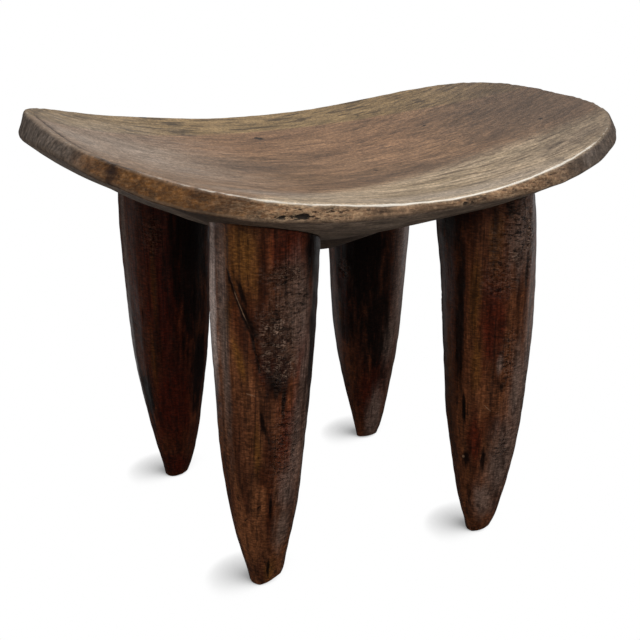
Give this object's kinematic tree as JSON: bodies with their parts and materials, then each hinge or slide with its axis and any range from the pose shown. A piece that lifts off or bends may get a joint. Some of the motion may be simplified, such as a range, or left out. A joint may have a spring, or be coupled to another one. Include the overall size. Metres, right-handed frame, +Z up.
{
  "type": "carved wooden stool",
  "caption": "Low carved wooden stool: a dished, upswept oval seat on stout bullet-shaped legs that taper to blunt feet, joined by hidden wedged tenons.",
  "frame": {"origin": "on the floor, midway between the four feet and under the middle of the seat", "axes": "+Z up, +X along the seat's length, -Y towards the sitter's front side that the picture shows"},
  "size_m": [0.5696, 0.4212, 0.4217],
  "materials": {
    "seat_wood": "waxed grey-brown hardwood with olive sapwood",
    "leg_wood": "waxed dark red-brown hardwood",
    "wedge_wood": "bare split hardwood"
  },
  "bodies": {
    "root": {"seat": "seat_wood", "leg_front_left": "leg_wood", "leg_front_right": "leg_wood", "leg_back_left": "leg_wood", "leg_back_right": "leg_wood", "wedge_front_left": "wedge_wood", "wedge_front_right": "wedge_wood", "wedge_back_left": "wedge_wood", "wedge_back_right": "wedge_wood"}
  },
  "joints": []
}
